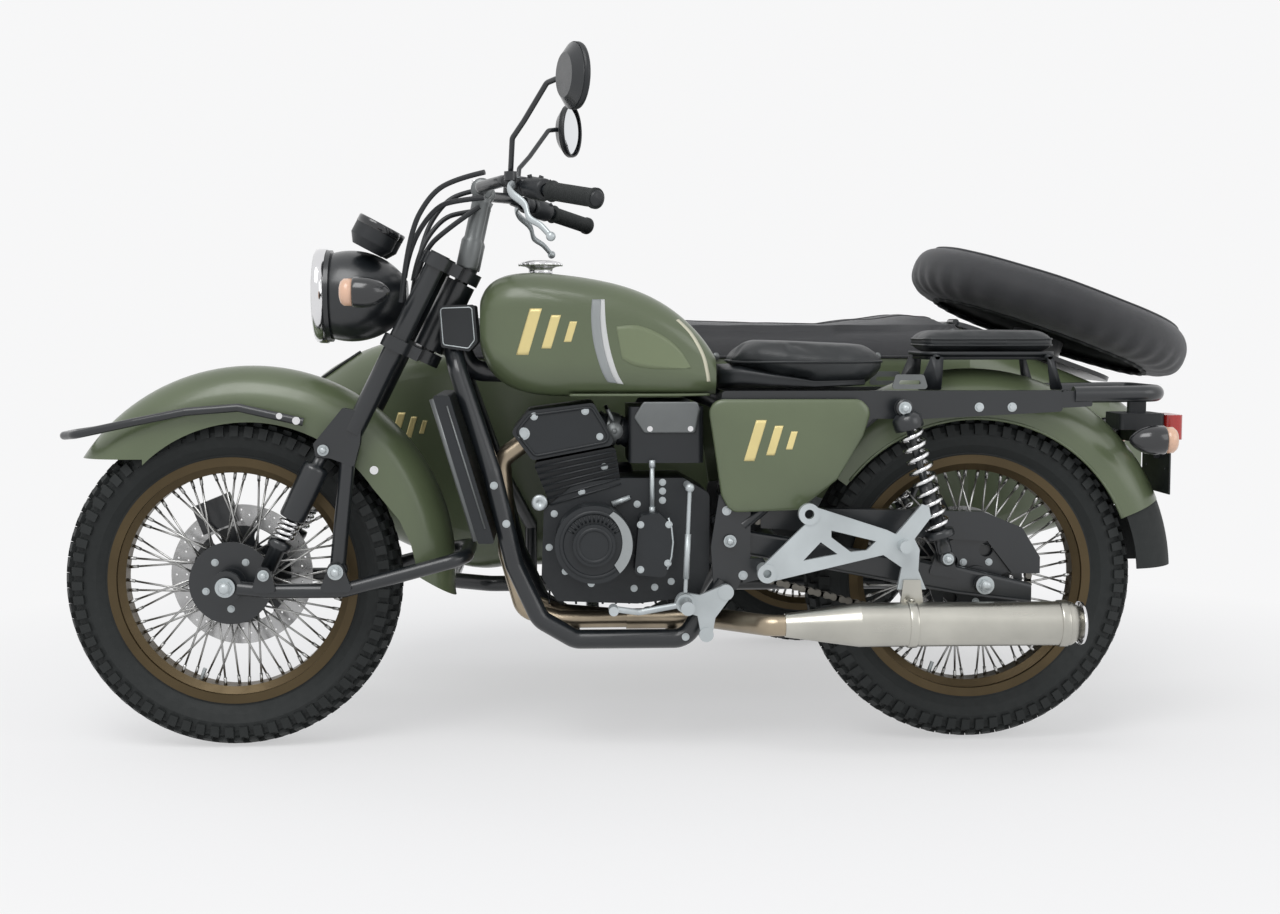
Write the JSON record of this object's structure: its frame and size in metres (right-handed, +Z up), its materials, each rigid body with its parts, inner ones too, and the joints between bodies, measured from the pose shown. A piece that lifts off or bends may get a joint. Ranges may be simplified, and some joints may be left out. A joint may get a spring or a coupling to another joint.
{
  "type": "sidecar motorcycle",
  "caption": "Classic-style motorcycle with a covered single-seat sidecar, laced wheels, leading-link fork, upright twin engine and a spare wheel under a fabric cover.",
  "frame": {"origin": "middle of the whole machine in plan, on the ground under its three wheels", "axes": "+X to the rear along the wheels, +Y to the right towards the sidecar, +Z up"},
  "size_m": [2.4223, 1.6391, 1.305],
  "materials": {
    "black_plastic": "fine grain",
    "body_green": "satin olive green",
    "cast_silver": "cast",
    "chrome": "polished",
    "cover_fabric": "black coated canvas",
    "engine_black": "matt black",
    "frame_black": "satin black",
    "hub_black": "satin black",
    "lens_clear": "clear",
    "lens_orange": "peach orange",
    "lens_red": "red",
    "rim_gold": "satin brown gold",
    "rubber": "matt",
    "seat_leather": "black",
    "shock_chrome": "polished springs",
    "spoke_steel": "plain",
    "stainless": "satin",
    "tyre": "knobby black rubber"
  },
  "bodies": {
    "front_wheel": {"front_tyre": "tyre", "front_rim": "rim_gold", "front_hub": "hub_black", "front_spokes": "spoke_steel"},
    "rear_wheel": {"rear_tyre": "tyre", "rear_rim": "rim_gold", "rear_hub": "hub_black", "rear_spokes": "spoke_steel"},
    "sidecar_wheel": {"sidecar_tyre": "tyre", "sidecar_rim": "rim_gold", "sidecar_hub": "hub_black", "sidecar_spokes": "spoke_steel"},
    "steering": {"fork": "frame_black", "front_swingarm": "frame_black", "front_axle": "frame_black", "front_shocks": "shock_chrome", "front_fender": "body_green", "fender_bumper": "frame_black", "headlight_shell": "black_plastic", "headlight_lens": "lens_clear", "gauge_pods": "black_plastic", "front_indicators": "lens_orange", "handlebar": "frame_black", "grips": "rubber", "mirrors": "frame_black", "control_cables": "rubber", "front_caliper": "frame_black"},
    "boot": {"boot_lid": "frame_black", "spare_wheel": "cover_fabric"},
    "chassis": {"airbox": "black_plastic", "chain_guard": "frame_black", "engine_covers": "engine_black", "engine_crankcase": "engine_black", "engine_cylinder_head": "engine_black", "exhaust_pipe": "stainless", "footrest_brackets": "cast_silver", "fuel_cap": "chrome", "fuel_tank": "body_green", "head_covers": "black_plastic", "main_frame": "frame_black", "mudflap": "rubber", "pillion_seat": "seat_leather", "radiator": "black_plastic", "rear_axle": "frame_black", "rear_caliper": "frame_black", "rear_fender": "body_green", "rear_indicators": "lens_orange", "rear_rack": "frame_black", "rear_shocks": "shock_chrome", "rider_seat": "seat_leather", "side_panels": "body_green", "sidecar_fender": "body_green", "sidecar_frame": "frame_black", "sidecar_swingarm": "frame_black", "sidecar_tonneau": "cover_fabric", "sidecar_tub": "body_green", "silencer": "stainless", "swingarm": "frame_black", "tail_lens": "lens_red", "tail_light": "black_plastic"}
  },
  "joints": [
    {"name": "steering", "type": "hinge", "parent": "chassis", "child": "steering", "pos_m": [-0.443, -0.335, 0.9], "axis": [0.4478, 0, 0.8942], "range_deg": [-30, 30]},
    {"name": "front_wheel_spin", "type": "hinge", "parent": "steering", "child": "front_wheel", "pos_m": [-0.883, -0.335, 0.327], "axis": [0, 1, 0], "continuous": true},
    {"name": "rear_wheel_spin", "type": "hinge", "parent": "chassis", "child": "rear_wheel", "pos_m": [0.567, -0.335, 0.327], "axis": [0, 1, 0], "continuous": true},
    {"name": "sidecar_wheel_spin", "type": "hinge", "parent": "chassis", "child": "sidecar_wheel", "pos_m": [0.387, 0.745, 0.327], "axis": [0, 1, 0], "continuous": true},
    {"name": "boot_lid_hinge", "type": "hinge", "parent": "chassis", "child": "boot", "pos_m": [0.642, 0.255, 0.832], "axis": [0, -1, 0], "range_deg": [0, 45]}
  ]
}
